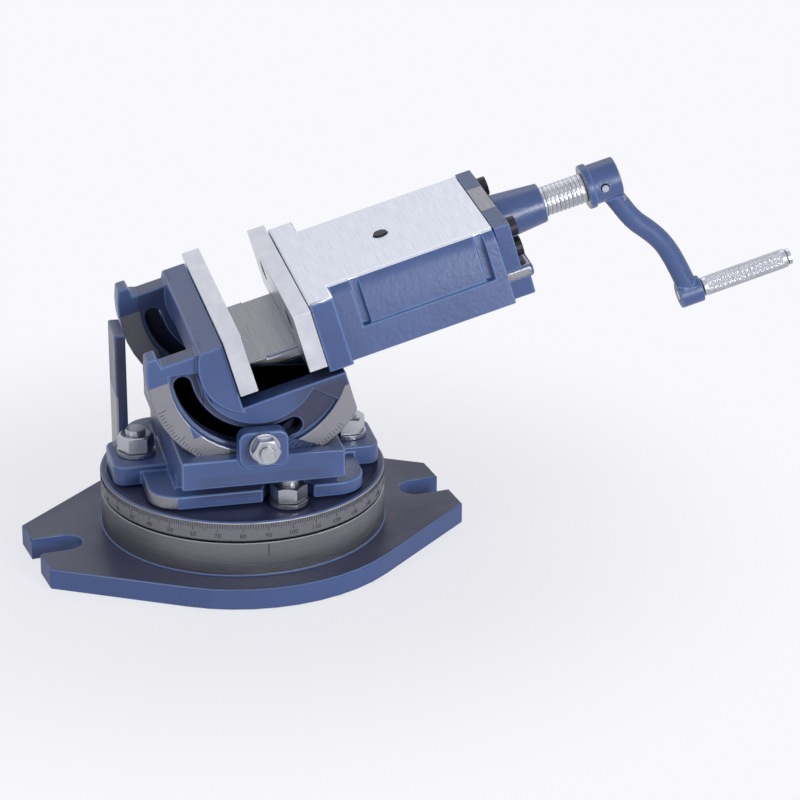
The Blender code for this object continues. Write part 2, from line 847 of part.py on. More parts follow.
def jaw_plate(face_x, back_x, into_work):
    """A jaw plate that straddles the bed, with two stepped screw holes."""
    notch = bed_half_width + 2 * gap
    half = [
        (notch, jaw_plate_notch_top),
        (notch, jaw_plate_bottom),
        (jaw_half_width, jaw_plate_bottom),
        (jaw_half_width, jaw_top),
    ]
    outline = [*half, *[(-y, z) for y, z in reversed(half)]]
    plate = slab(outline, "YZ", *sorted((face_x, back_x)))
    for side in (-1, 1):
        cut(plate, screw_room(cap_screw, jaw_screw_place(side, face_x), (into_work, 0, 0)))
    return plate


def make_fixed_jaw(parent):
    finish_part(jaw_plate(fixed_plate_face, fixed_plate_back, -1), "fixed_jaw_plate", "ground_steel", parent)
    screws = [screw_body(cap_screw, jaw_screw_place(side, fixed_plate_face), (-1, 0, 0)) for side in (-1, 1)]
    finish_each(screws, "fixed_jaw_screw", "black_oxide", parent)


def make_screw_nut(parent):
    end = screw_nut_start + screw_nut_length
    nut = box((screw_nut_start, -screw_nut_half_width, bed_top + gap), (end, screw_nut_half_width, screw_nut_top))
    bore_start = (screw_nut_start - overrun, 0, screw_axis)
    cut(nut, rod(screw_radius + gap, bore_start, (end + overrun, 0, screw_axis)))
    screws = []
    for side in (-1, 1):
        cut(nut, screw_room(nut_screw, nut_screw_place(side), (0, 0, -1)))
        screws.append(screw_body(nut_screw, nut_screw_place(side), (0, 0, -1)))
    finish_part(nut, "screw_nut", "bronze", parent)
    finish_each(screws, "nut_screw", "black_oxide", parent)


def keeper_screw_places(side):
    length = keeper_back - keeper_front
    return [
        (keeper_front + share * length, side * keeper_screw_side, keeper_bottom) for share in keeper_screw_shares
    ]


def bracket_screw_places():
    outer = rear_bracket_back + bracket_screw[1]
    return [(outer, side * bracket_screw_side, height) for side in (-1, 1) for height in bracket_screw_heights]


def hood_outline():
    """The moving jaw from behind: a level machined land, narrow shoulders and flaring sides."""
    half = [
        (hood_half_width, hood_bottom),
        (shoulder_half_width, jaw_top - shoulder_drop),
        (land_half_width, jaw_top),
    ]
    return [*half, *[(-y, z) for y, z in reversed(half)]]


def side_recess(start, length, depth):
    """Cuts one side of the moving jaw back, from above its lower skirt to the edge of the land."""
    shoulder = jaw_top - shoulder_drop
    slope = (hood_half_width - shoulder_half_width) / (shoulder - hood_bottom)
    side_low = hood_half_width - slope * (panel_bottom - hood_bottom)
    outline = [
        (-hood_half_width, panel_bottom),
        (depth - side_low, panel_bottom),
        (depth - shoulder_half_width, shoulder),
        (-land_half_width, jaw_top),
        (-land_half_width, jaw_top + overrun),
        (-hood_half_width, jaw_top + overrun),
    ]
    return slab(outline, "YZ", start, start + length)


def make_moving_jaw(parent):
    jaw = slab(hood_outline(), "YZ", head_front + sink, hood_back)
    head = box((head_front, -head_half_width, hood_bottom), (head_back, head_half_width, jaw_top))
    joined(jaw, soften(head, head_edge_round, segments=1))
    panel_front = head_front + panel_start
    panel_back = panel_front + panel_length
    recesses = (
        (panel_front - sink, panel_length + 2 * sink, panel_depth),
        (panel_front - groove_width, groove_width, groove_depth),
        (panel_back, groove_width, groove_depth),
    )
    for start, length, depth in recesses:
        near = side_recess(start, length, depth)
        far = mirrored_y(near)
        cut(jaw, near, far)
    left = head_front - overrun
    right = hood_back + overrun
    channel = bed_half_width + gap
    cut(jaw, box((left, -channel, hood_bottom - overrun), (right, channel, bed_top + gap)))
    keeper_room = keeper_outer_side + gap
    cut(jaw, box((left, -keeper_room, hood_bottom - overrun), (right, keeper_room, keeper_top + gap)))
    cut(jaw, box((nut_bay_front, -nut_bay_half_width, bed_top - overrun), (right, nut_bay_half_width, nut_bay_top)))
    oil_x = head_front + oil_plug_from_head
    oil_low = jaw_top - oil_plug_depth
    cut(jaw, rod(oil_plug_radius + gap, (oil_x, 0, oil_low), (oil_x, 0, jaw_top + overrun), small_sides))
    for side in (-1, 1):
        cut(jaw, screw_room(cap_screw, jaw_screw_place(side, moving_plate_face), (1, 0, 0)))
        for place in keeper_screw_places(side):
            cut(jaw, screw_room(keeper_screw, place, (0, 0, 1), tiny_sides))
    for place in bracket_screw_places():
        cut(jaw, screw_room(bracket_screw, place, (-1, 0, 0)))
    finish_part(jaw, "moving_jaw", "blue_enamel", parent)
    finish_part(jaw_plate(moving_plate_face, moving_plate_back, 1), "moving_jaw_plate", "ground_steel", parent)
    screws = [screw_body(cap_screw, jaw_screw_place(side, moving_plate_face), (1, 0, 0)) for side in (-1, 1)]
    finish_each(screws, "moving_jaw_screw", "black_oxide", parent)
    plug = rod(oil_plug_radius, (oil_x, 0, oil_low + gap), (oil_x, 0, jaw_top + oil_plug_proud), small_sides)
    finish_part(plug, "oil_plug", "black_oxide", parent)


def make_keepers(parent):
    strips = []
    screws = []
    for side in (-1, 1):
        low, high = sorted((side * (stem_half_width + gap), side * keeper_outer_side))
        strip = box((keeper_front, low, keeper_bottom), (keeper_back, high, keeper_top))
        for place in keeper_screw_places(side):
            cut(strip, screw_room(keeper_screw, place, (0, 0, 1), tiny_sides))
            screws.append(screw_body(keeper_screw, place, (0, 0, 1), tiny_sides))
        strips.append(strip)
    finish_each(strips, "keeper", "ground_steel", parent)
    finish_each(screws, "keeper_screw", "black_oxide", parent)


def make_rear_bracket(parent):
    bracket = box(
        (rear_bracket_front, -rear_bracket_half_width, rear_bracket_bottom),
        (rear_bracket_back, rear_bracket_half_width, jaw_top),
    )
    root = (rear_bracket_back - sink, 0, screw_axis)
    joined(bracket, rod(boss_root_radius, root, (boss_end, 0, screw_axis), round_sides, boss_end_radius))
    low = (rear_bracket_front - overrun, 0, screw_axis)
    pocket_end = rear_bracket_front + retaining_ring_length + 2 * gap
    cut(bracket, rod(shank_radius + gap, low, (boss_end + overrun, 0, screw_axis)))
    cut(bracket, rod(retaining_ring_radius + gap, low, (pocket_end, 0, screw_axis)))
    screws = []
    for place in bracket_screw_places():
        cut(bracket, screw_room(bracket_screw, place, (-1, 0, 0)))
        screws.append(screw_body(bracket_screw, place, (-1, 0, 0)))
    finish_part(bracket, "rear_bracket", "blue_enamel", parent)
    finish_each(screws, "bracket_screw", "bright_plating", parent)


def make_lead_screw(parent):
    """The screw and its shank, with the crank's spigot at the outer end; its axis is the parent's X."""
    screw = rod(screw_radius, (screw_start, 0, 0), (rear_bracket_front + sink, 0, 0))
    joined(screw, rod(shank_radius, (rear_bracket_front, 0, 0), (hub_start, 0, 0)))
    joined(screw, rod(spigot_radius, (hub_start - sink, 0, 0), (hub_end - gap, 0, 0)))
    cut(screw, hub_pin_room())
    finish_part(screw, "lead_screw", "turned_steel", parent)
    start = rear_bracket_front + gap
    end = start + retaining_ring_length
    ring = rod(retaining_ring_radius, (start, 0, 0), (end, 0, 0))
    cut(ring, rod(shank_radius + gap, (start - overrun, 0, 0), (end + overrun, 0, 0)))
    finish_part(ring, "retaining_ring", "black_oxide", parent)


def hub_pin_room():
    reach = hub_radius + overrun
    return rod(hub_pin_radius + gap, (hub_middle, -reach, 0), (hub_middle, reach, 0), small_sides)


def make_crank(parent):
    start = hub_start + gap
    hub = rod(hub_radius, (start, 0, 0), (hub_end, 0, 0))
    joined(hub, rod(hub_collar_radius, (start, 0, 0), (start + hub_collar_length, 0, 0)))
    path = [
        (hub_middle + arm_reach * reach_share, 0, -crank_throw * drop_share)
        for drop_share, reach_share in zip(arm_drop_shares, arm_reach_shares)
    ]
    joined(hub, tube(path, arm_radius))
    eye_start = (eye_middle - eye_length / 2, 0, -crank_throw)
    eye_end = (eye_middle + eye_length / 2, 0, -crank_throw)
    joined(hub, rod(eye_radius, eye_start, eye_end))
    cut(hub, rod(spigot_radius + gap, (hub_start - overrun, 0, 0), (hub_end + overrun, 0, 0)))
    cut(hub, hub_pin_room())
    bore_start = (eye_start[0] - overrun, 0, -crank_throw)
    cut(hub, rod(spindle_radius + gap, bore_start, (eye_end[0] + overrun, 0, -crank_throw), small_sides))
    finish_part(hub, "crank", "blue_enamel", parent)
    pin = rod(hub_pin_radius, (hub_middle, -hub_radius - gap, 0), (hub_middle, hub_radius + gap, 0), small_sides)
    finish_part(pin, "crank_pin", "bright_plating", parent)
    head_start = sleeve_end + gap
    spindle = rod(spindle_radius, eye_start, (head_start + sink, 0, -crank_throw), small_sides)
    head_low = (head_start, 0, -crank_throw)
    head_high = (head_start + spindle_head_thickness, 0, -crank_throw)
    joined(spindle, rod(spindle_head_radius, head_low, head_high, small_sides))
    finish_part(spindle, "sleeve_spindle", "bright_plating", parent)


def make_sleeve(parent):
    """The knurled sleeve, turning about the parent's X."""
    sleeve = rod(sleeve_radius, (sleeve_start, 0, 0), (sleeve_end, 0, 0))
    bore_end = (sleeve_end + overrun, 0, 0)
    cut(sleeve, rod(spindle_radius + gap, (sleeve_start - overrun, 0, 0), bore_end, small_sides))
    finish_part(sleeve, "crank_sleeve", "bright_plating", parent)


clear_scene()
parts = make_collection("swivel_tilting_vise")
cutters = make_collection("cutters")
cutters.hide_render = True
materials = {name: make_finish(name) for name in finishes}

turntable_axis = make_axis("turntable_axis", turn_z=swivel_at_rest)
tilt_axis = make_axis("tilt_axis", turntable_axis, (0, 0, tilt_axis_height), turn_y=-tilt_at_rest)
jaw_travel = make_axis("jaw_travel", tilt_axis)
screw_turn = make_axis("screw_turn", jaw_travel, (0, 0, screw_axis))
sleeve_turn = make_axis("sleeve_turn", screw_turn, (0, 0, -crank_throw))

make_base(None)
make_centre_post(None)
make_turntable(turntable_axis)
make_saddle(turntable_axis)
make_clamp_bolts(turntable_axis)
make_tilt_clamps(turntable_axis)
make_body(tilt_axis)
make_fixed_jaw(tilt_axis)
make_screw_nut(tilt_axis)
make_moving_jaw(jaw_travel)
make_keepers(jaw_travel)
make_rear_bracket(jaw_travel)
make_lead_screw(screw_turn)
make_crank(screw_turn)
make_sleeve(sleeve_turn)
bpy.context.view_layer.update()
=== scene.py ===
import math

import bmesh
import bpy
import numpy as np
from mathutils import Matrix, Vector


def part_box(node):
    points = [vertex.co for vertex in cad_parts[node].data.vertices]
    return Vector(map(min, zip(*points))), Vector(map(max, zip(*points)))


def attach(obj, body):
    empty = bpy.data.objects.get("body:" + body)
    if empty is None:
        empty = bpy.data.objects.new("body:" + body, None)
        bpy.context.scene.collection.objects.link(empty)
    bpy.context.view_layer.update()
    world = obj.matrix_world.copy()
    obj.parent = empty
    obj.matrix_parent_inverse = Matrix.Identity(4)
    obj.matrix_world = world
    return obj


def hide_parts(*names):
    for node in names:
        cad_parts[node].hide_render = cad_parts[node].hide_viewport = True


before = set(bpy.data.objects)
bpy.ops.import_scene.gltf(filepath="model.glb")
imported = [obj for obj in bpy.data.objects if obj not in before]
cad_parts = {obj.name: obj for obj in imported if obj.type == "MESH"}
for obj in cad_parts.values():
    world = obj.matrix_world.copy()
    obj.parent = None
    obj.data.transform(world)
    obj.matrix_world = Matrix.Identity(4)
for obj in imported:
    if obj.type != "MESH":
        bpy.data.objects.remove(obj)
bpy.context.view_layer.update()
print("frame loaded:", len(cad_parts), "solids")

# Places that the whole vise shares, in metres
viseFrames = {
    "swivel": Matrix.Rotation(math.radians(-8.0), 4, "Z"),
    "tiltAxisHeight": 0.093,
    "tilt": -15.8,
    "screwHeight": 0.0075,
}
swivelFrame = viseFrames["swivel"]
tiltFrame = (swivelFrame @ Matrix.Translation((0, 0, viseFrames["tiltAxisHeight"]))
             @ Matrix.Rotation(math.radians(viseFrames["tilt"]), 4, "Y"))
screwFrame = tiltFrame @ Matrix.Translation((0, 0, viseFrames["screwHeight"]))
mm = 0.001
far = 1000.0  # further than the vise reaches, in mm
noiseSpan = (0.3, 0.7)  # the stretch of values that a noise mostly fills
# Painted shade fades from full to none between these shares
paintedShadeFade = {"full": 0.55, "gone": 1.1}  # shares of a box's half size


# Small helpers that every material and piece below shares
def linearColour(hexCode):
    parts = [int(hexCode[i:i + 2], 16) / 255 for i in (1, 3, 5)]
    return tuple(c / 12.92 if c <= 0.04045 else ((c + 0.055) / 1.055) ** 2.4 for c in parts) + (1.0,)


def addNode(tree, kind, inputs=None, **settings):
    made = tree.nodes.new(kind)
    for key, value in settings.items():
        setattr(made, key, value)
    for socket, value in (inputs or {}).items():
        if isinstance(value, bpy.types.Node):
            value = value.outputs[0]
        if isinstance(value, bpy.types.NodeSocket):
            tree.links.new(value, made.inputs[socket])
        else:
            made.inputs[socket].default_value = value
    return made


def newPiece(name, data):
    piece = bpy.data.objects.new(name, data)
    bpy.context.collection.objects.link(piece)
    return piece


def bakedMesh(piece):
    depsgraph = bpy.context.evaluated_depsgraph_get()
    made = bpy.data.meshes.new_from_object(piece.evaluated_get(depsgraph))
    piece.modifiers.clear()
    return made


def newMaterial(name):
    material = bpy.data.materials.new(name)
    material.use_nodes = True
    tree = material.node_tree
    tree.nodes.clear()
    shader = addNode(tree, "ShaderNodeBsdfPrincipled")
    addNode(tree, "ShaderNodeOutputMaterial", {"Surface": shader})
    return material, tree, shader


def localMillimetres(tree, place):
    back = place.inverted()  # row frame to the piece's own frame
    coords = addNode(tree, "ShaderNodeTexCoord")
    mapped = addNode(tree, "ShaderNodeMapping", {
        "Vector": coords.outputs["Object"],
        "Location": back.translation / mm,
        "Rotation": back.to_euler(),
        "Scale": (1 / mm, 1 / mm, 1 / mm)})
    return mapped.outputs[0]


def regionMask(tree, coords, regions, soft=False):
    # 1 inside any of the boxes; a box may be narrowed to a ring between two radii
    total = None
    for region in regions:
        low, high = Vector(region["low"]), Vector(region["high"])
        shifted = addNode(tree, "ShaderNodeVectorMath", {0: coords, 1: (low + high) / 2},
                          operation="SUBTRACT")
        size = addNode(tree, "ShaderNodeVectorMath", {0: shifted}, operation="ABSOLUTE")
        share = addNode(tree, "ShaderNodeVectorMath", {0: size, 1: (high - low) / 2},
                        operation="DIVIDE")
        split = addNode(tree, "ShaderNodeSeparateXYZ", {0: share})
        most = addNode(tree, "ShaderNodeMath", {0: split, 1: split.outputs[1]},
                       operation="MAXIMUM")
        most = addNode(tree, "ShaderNodeMath", {0: most, 1: split.outputs[2]},
                       operation="MAXIMUM")
        if soft:
            hit = addNode(tree, "ShaderNodeMapRange", {
                "Value": most, 1: paintedShadeFade["full"], 2: paintedShadeFade["gone"], 3: 1.0, 4: 0.0})
        else:
            hit = addNode(tree, "ShaderNodeMath", {0: most, 1: 1.0},
                          operation="LESS_THAN")
        if "radius" in region:
            flat = addNode(tree, "ShaderNodeVectorMath", {0: coords, 1: region["plane"]},
                           operation="MULTIPLY")
            reach = addNode(tree, "ShaderNodeVectorMath", {0: flat}, operation="LENGTH")
            above = addNode(tree, "ShaderNodeMath",
                            {0: reach.outputs["Value"], 1: region["radius"][0]},
                            operation="GREATER_THAN")
            below = addNode(tree, "ShaderNodeMath",
                            {0: reach.outputs["Value"], 1: region["radius"][1]},
                            operation="LESS_THAN")
            both = addNode(tree, "ShaderNodeMath", {0: above, 1: below},
                           operation="MULTIPLY")
            hit = addNode(tree, "ShaderNodeMath", {0: hit, 1: both},
                          operation="MULTIPLY")
        if total is None:
            total = hit
        else:
            total = addNode(tree, "ShaderNodeMath", {0: total, 1: hit},
                            operation="MAXIMUM")
    return total.outputs[0]


# Paint on the castings; colours as seen in plain light, sizes in mm
enamelLook = {
    # edge and edgeHighlightDeep: painted highlight on rounded edges, partly worn-thin paint
    "face": "#4a6194", "deep": "#3b4d7c", "edge": "#6482b2", "edgeHighlightDeep": "#4a649a",
    # paintedShadeColour is painted shade: the deep navy that shaded hollows and dark tops blend
    # toward
    "paintedShadeColour": "#33344e", "steel": "#a3a3aa", "steelDeep": "#6c6b72",
    "cloudSize": 26.0, "peelSize": 1.6, "sandSize": 3.6, "lineSize": 0.45,
    "paintRoughness": (0.30, 0.42), "steelRoughness": (0.30, 0.44),
    "latheRoughness": (0.42, 0.54), "latheShine": 0.9,
    "paintedShade": 0.9, "edgePaintedShade": 0.35, "bumpStrength": 0.35, "bumpDepth": 0.22,
}


def castEnamel(name, place, regions, shadedBoxes, edge=False, grain=(1, 0.03, 1), steel=None,
               turned=False):
    # Grey iron casting, sprayed with gloss enamel over sand-cast skin, then milled bright where
    # it bears: soft clouds and orange peel in the blue, fine tool lines in the bare metal
    look = enamelLook
    steel = steel or (look["steel"], look["steelDeep"])
    material, tree, shader = newMaterial(name)
    coords = localMillimetres(tree, place)
    cloud = addNode(tree, "ShaderNodeTexNoise", {"Vector": coords, "Scale": 1 / look["cloudSize"],
                                                 "Detail": 4.0, "Roughness": 0.6})
    # With edge set, the blue is lighter: painted highlight where rounded edges catch the light,
    # partly worn-thin paint
    paint = addNode(tree, "ShaderNodeMix", {
        0: cloud,
        6: linearColour(look["edgeHighlightDeep" if edge else "deep"]),
        7: linearColour(look["edge" if edge else "face"])}, data_type="RGBA")
    lined = addNode(tree, "ShaderNodeVectorMath", {0: coords, 1: grain}, operation="MULTIPLY")
    lines = addNode(tree, "ShaderNodeTexNoise", {"Vector": lined,
                                                 "Scale": 1 / look["lineSize"], "Detail": 3.0})
    bare = addNode(tree, "ShaderNodeMix", {
        0: lines, 6: linearColour(steel[1]), 7: linearColour(steel[0])},
        data_type="RGBA")
    if shadedBoxes:  # painted shade: hollows, floors, undersides and upward tops darkened toward deep navy
        paintedShade = regionMask(tree, coords, shadedBoxes, soft=True)
        most = look["edgePaintedShade" if edge else "paintedShade"]
        paintedShade = addNode(tree, "ShaderNodeMath", {0: paintedShade, 1: most}, operation="MULTIPLY")
        paint = addNode(tree, "ShaderNodeMix", {0: paintedShade, 6: paint.outputs[2],
                                                7: linearColour(look["paintedShadeColour"])},
                        data_type="RGBA")
    mask = regionMask(tree, coords, regions)
    if turned:  # faced and turned on a lathe, so the shine runs across the tool's rings
        along = addNode(tree, "ShaderNodeTangent", direction_type="RADIAL", axis="Z")
        tree.links.new(along.outputs[0], shader.inputs["Tangent"])
        shader.inputs["Anisotropic"].default_value = look["latheShine"]
    colour = addNode(tree, "ShaderNodeMix", {0: mask, 6: paint.outputs[2], 7: bare.outputs[2]},
                     data_type="RGBA")
    peel = addNode(tree, "ShaderNodeTexNoise", {"Vector": coords, "Scale": 1 / look["peelSize"],
                                                "Detail": 2.0})
    sand = addNode(tree, "ShaderNodeTexNoise", {"Vector": coords, "Scale": 1 / look["sandSize"],
                                                "Detail": 3.0})
    skin = addNode(tree, "ShaderNodeMath", {0: peel, 1: sand},
                   operation="ADD")
    height = addNode(tree, "ShaderNodeMix", {0: mask, 2: skin, 3: lines})
    bump = addNode(tree, "ShaderNodeBump", {"Height": height, "Strength": look["bumpStrength"],
                                            "Distance": look["bumpDepth"] * mm})
    low, high = look["paintRoughness"]
    paintRough = addNode(tree, "ShaderNodeMapRange", {
        "Value": cloud, 1: noiseSpan[0], 2: noiseSpan[1], 3: low, 4: high})
    low, high = look["latheRoughness" if turned else "steelRoughness"]
    bareRough = addNode(tree, "ShaderNodeMapRange", {
        "Value": lines, 1: noiseSpan[0], 2: noiseSpan[1], 3: low, 4: high})
    rough = addNode(tree, "ShaderNodeMix", {0: mask, 2: paintRough,
                                            3: bareRough})
    tree.links.new(colour.outputs[2], shader.inputs["Base Color"])
    tree.links.new(mask, shader.inputs["Metallic"])
    tree.links.new(rough.outputs[0], shader.inputs["Roughness"])
    tree.links.new(bump.outputs[0], shader.inputs["Normal"])
    return material


barLook = {"stainSize": 9.0, "brighter": 0.22, "bumpStrength": 0.5}


def barMetal(name, place, bright, dull, roughness, lineSize, grain, bumpDepth=0.04,
             metallic=1.0):
    # One kind of bare or plated metal: the grain stretches the noise along the tool's path
    material, tree, shader = newMaterial(name)
    coords = localMillimetres(tree, place)
    lined = addNode(tree, "ShaderNodeVectorMath", {0: coords, 1: grain}, operation="MULTIPLY")
    lines = addNode(tree, "ShaderNodeTexNoise", {"Vector": lined,
                                                 "Scale": 1 / lineSize, "Detail": 4.0})
    stain = addNode(tree, "ShaderNodeTexNoise", {
        "Vector": coords, "Scale": 1 / barLook["stainSize"], "Detail": 3.0})
    blend = addNode(tree, "ShaderNodeMath", {0: lines, 1: stain, 2: barLook["brighter"]},
                    operation="MULTIPLY_ADD")
    colour = addNode(tree, "ShaderNodeMix", {0: blend, 6: linearColour(dull),
                                             7: linearColour(bright)}, data_type="RGBA")
    rough = addNode(tree, "ShaderNodeMapRange", {
        "Value": stain, 1: noiseSpan[0], 2: noiseSpan[1], 3: roughness[0], 4: roughness[1]})
    bump = addNode(tree, "ShaderNodeBump", {
        "Height": lines, "Strength": barLook["bumpStrength"], "Distance": bumpDepth * mm})
    shader.inputs["Metallic"].default_value = metallic
    tree.links.new(colour.outputs[2], shader.inputs["Base Color"])
    tree.links.new(rough.outputs[0], shader.inputs["Roughness"])
    tree.links.new(bump.outputs[0], shader.inputs["Normal"])
    return material


def region(low, high, plane=None, radius=None):
    made = {"low": low, "high": high}
    if radius:
        made.update(plane=plane, radius=radius)
    return made


# Where each casting is milled bright, in mm in its own frame; a ring lies in one of two planes
ring, arcPlane = (1, 1, 0), (1, 0, 1)
milled = {
    "base": [region((-far, -far, 9.6), (far, far, 40), ring, (57.2, 62))],
    "turntable": [region((-far, -far, 20), (far, far, 32.1), ring, (57.6, 62))],
    "saddle": [region((-52, 8, 36.5), (-49.2, 31, 62)),
               region((-45, -42.5, 32.5), (-33.5, -21, 38.2))],
    "body": [region((-60, -46, -60), (-33.5, 46, 6.5), arcPlane, (36.1, 46)),
             region((-60, -46, -60), (60, 46, -20), arcPlane, (36.1, 46)),
             region((-4, -30.4, -3.6), (119, 30.4, -2.5)),
             region((-4, 29.7, -9.6), (119, 30.4, -2.5)),
             region((-4, -30.4, -9.6), (119, -29.7, -2.5))],
    "movingJaw": [region((25, -50, 17.4), (37.2, 50, 19)),
                  region((25, -32.0, 17.2), (107, 32.0, 19)),
                  region((25, -50, -20), (26.3, 50, 19))],
    "rearBracket": [region((105, -12.5, 17.6), (114, 12.5, 19))],
    "crank": [region((165.4, -10, -10), (167, 10, 10)), region((150, -10, -10), (151.3, 10, 10))],
}

# Painted shade: boxes where the enamel is darkened toward deep navy, for the shade in hollows, under
# and between parts, and on the base and turntable tops
paintedShadeBoxes = {
    "base": [region((-200, -200, 8.5), (200, 200, 9.7))],
    "turntable": [region((-120, -120, 31.6), (120, 120, 33.1))],
    "saddle": [region((-60, 4, 50), (-44, 34, 110)), region((-26, -54, 36), (26, 54, 50)),
               region((-40, -47, 54), (40, 47, 100)), region((-60, 40, 40), (0, 60, 120))],
    "body": [region((-90, -43.7, -90), (90, -33, 30), arcPlane, (24.2, 36.4)),
             region((-90, 33, -90), (90, 43.7, 30), arcPlane, (24.2, 36.4)),
             region((8, -80, -40), (60, 80, -12)), region((-60, -34.5, -60), (60, 34.5, -8)),
             region((2, -40, -40), (34, 40, -4))],
    "movingJaw": [region((26, -29, -16), (108, 29, -1))],
    "rearBracket": [],
    "crank": [],
}

castings = {
    "baseCasting": {"node": "base_plate", "zone": "base", "body": "base", "place": Matrix(),
                    "edge": 0.55},
    "turntableCasting": {"node": "turntable", "zone": "turntable", "body": "turntable_body",
                         "place": swivelFrame, "edge": 0.4},
    "saddleCasting": {"node": "saddle", "zone": "saddle", "body": "turntable_body",
                      "place": swivelFrame, "edge": 0.8},
    "bodyCasting": {"node": "vise_body", "zone": "body", "body": "tilting_body",
                    "place": tiltFrame, "edge": 0.7},
    "jawCasting": {"node": "moving_jaw", "zone": "movingJaw", "body": "moving_jaw_body",
                   "place": tiltFrame, "edge": 0.6},
    "rearBracketCasting": {"node": "rear_bracket", "zone": "rearBracket",
                           "body": "moving_jaw_body", "place": tiltFrame, "edge": 0.6},
    "crankForging": {"node": "crank", "zone": "crank", "body": "screw_body",
                     "place": screwFrame, "edge": 0.5},
}
machinedParts = {
    "fixedJawPlate": {"node": "fixed_jaw_plate", "body": "tilting_body", "edge": 0.35,
                      "slot": "ground_steel", "metal": "plate"},
    "movingJawPlate": {"node": "moving_jaw_plate", "body": "moving_jaw_body", "edge": 0.35,
                       "slot": "ground_steel", "metal": "plate"},
    "nearKeeper": {"node": "keeper_1", "body": "moving_jaw_body", "edge": 0.3,
                   "slot": "black_oxide", "metal": "black"},
    "farKeeper": {"node": "keeper_2", "body": "moving_jaw_body", "edge": 0.3,
                  "slot": "black_oxide", "metal": "black"},
    "bronzeNut": {"node": "screw_nut", "body": "tilting_body", "edge": 0.3,
                  "slot": "bronze", "metal": "bronze"},
}
softEdges = {"weld": 0.02, "flat": 1.0, "sharp": 38.0, "sliver": 1.6, "segments": 3,
             "faceWeight": 60}  # mm, degrees, degrees, edge widths


def roundedCopy(name, part, materials):
    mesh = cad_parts[part["node"]].data.copy()
    form = bmesh.new()
    form.from_mesh(mesh)
    bmesh.ops.remove_doubles(form, verts=form.verts, dist=softEdges["weld"] * mm)
    bmesh.ops.dissolve_limit(form, angle_limit=math.radians(softEdges["flat"]),
                             verts=form.verts, edges=form.edges)
    bmesh.ops.recalc_face_normals(form, faces=form.faces)
    weight = form.edges.layers.float.new("bevel_weight_edge")
    sharp = {e for e in form.edges if len(e.link_faces) == 2
             and e.calc_face_angle(0) > math.radians(softEdges["sharp"])}
    sliver = softEdges["sliver"] * part["edge"] * mm
    for edge in sharp:  # a sliver between two corners is left sharp, so that no corner spikes
        busy = max(sum(other in sharp for other in end.link_edges) for end in edge.verts)
        edge[weight] = 0.0 if busy > 2 and edge.calc_length() < sliver else 1.0
    for face in form.faces:
        face.smooth = True
        face.material_index = 0
    form.to_mesh(mesh)
    form.free()
    mesh.materials.clear()
    for material in materials:
        mesh.materials.append(material)
    piece = newPiece(name, mesh)
    bevel = piece.modifiers.new("softEdges", "BEVEL")
    bevel.width = part["edge"] * mm
    bevel.segments = softEdges["segments"]
    bevel.limit_method = "WEIGHT"
    bevel.use_clamp_overlap = False
    # Bevel faces take the last material; on the castings that is the lighter edge enamel, a painted
    # highlight that also stands for worn paint
    bevel.material = len(materials) - 1
    evened = piece.modifiers.new("flatFaces", "WEIGHTED_NORMAL")
    evened.weight = softEdges["faceWeight"]
    piece.data = bakedMesh(piece)
    piece.data.name = name
    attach(piece, part["body"])
    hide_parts(part["node"])


# Tool steel, surface ground: pale and cool, with fine lines across that soften its shine
groundSteel = barMetal("groundToolSteel", tiltFrame, "#dfe2e7", "#b4b7bf", (0.26, 0.38), 0.5,
                       (1, 0.03, 1))
# Mild steel, turned on a lathe: mid grey, with close rings round its axis
turnedSteel = barMetal("turnedSteel", swivelFrame, "#a9a8ad", "#6f6c73", (0.26, 0.36), 0.4,
                       (0.03, 0.03, 1.6))
# Bright zinc plate on rolled steel: an even, slightly milky silver
zincPlate = barMetal("brightZincPlate", swivelFrame, "#cdcfd5", "#94969e", (0.26, 0.38), 1.2,
                     (1, 1, 1), 0.02)
# Black oxide on alloy steel: near black, with a satin, oily shine
blackOxide = barMetal("blackOxideSteel", tiltFrame, "#3a3a40", "#1d1d22", (0.38, 0.5), 0.8,
                      (1, 1, 1), 0.03, 0.75)
# Bronze, sand cast and milled: warm yellow with browner patches
castBronze = barMetal("castBronze", tiltFrame, "#b98a4a", "#7d5526", (0.3, 0.42), 0.7,
                      (1, 1, 1))
metals = {"plate": groundSteel, "turned": turnedSteel, "zinc": zincPlate, "black": blackOxide,
          "bronze": castBronze}

landSteel = ("#dde1e8", "#c3c7d0")  # the jaw's milled top lands are paler than the dial
for name, part in castings.items():
    turned = part["zone"] in ("base", "turntable")
    look = {"grain": (0.04, 0.04, 1.8) if turned else (1, 0.03, 1), "turned": turned,
            "steel": landSteel if name == "jawCasting" else None}
    zones = (part["place"], milled[part["zone"]], paintedShadeBoxes[part["zone"]])
    blue = castEnamel(name + "Enamel", *zones, **look)
    edges = castEnamel(name + "EdgeHighlightEnamel", *zones, edge=True, **look)
    roundedCopy(name, part, [blue, edges])
for name, part in machinedParts.items():
    roundedCopy(name, part, [metals[part["metal"]]])
print("castings dressed")

fastenerLooks = {
    "clamp_bolt": "zinc", "clamp_nut": "zinc", "clamp_washer": "zinc", "tilt_bolt": "zinc",
    "tilt_nut": "zinc", "tilt_washer": "zinc", "centre_post": "turned", "lead_screw": "zinc",
    "retaining_ring": "black", "crank_pin": "zinc", "sleeve_spindle": "zinc",
    "crank_sleeve": "zinc", "oil_plug": "black", "bracket_screw": "black",
    "keeper_screw": "black", "nut_screw": "black", "fixed_jaw_screw": "black",
    "moving_jaw_screw": "black",
}
for nodeName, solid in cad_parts.items():
    for start, look in fastenerLooks.items():
        if nodeName.startswith(start):
            solid.data.materials.clear()
            solid.data.materials.append(metals[look])
print("fasteners dressed")

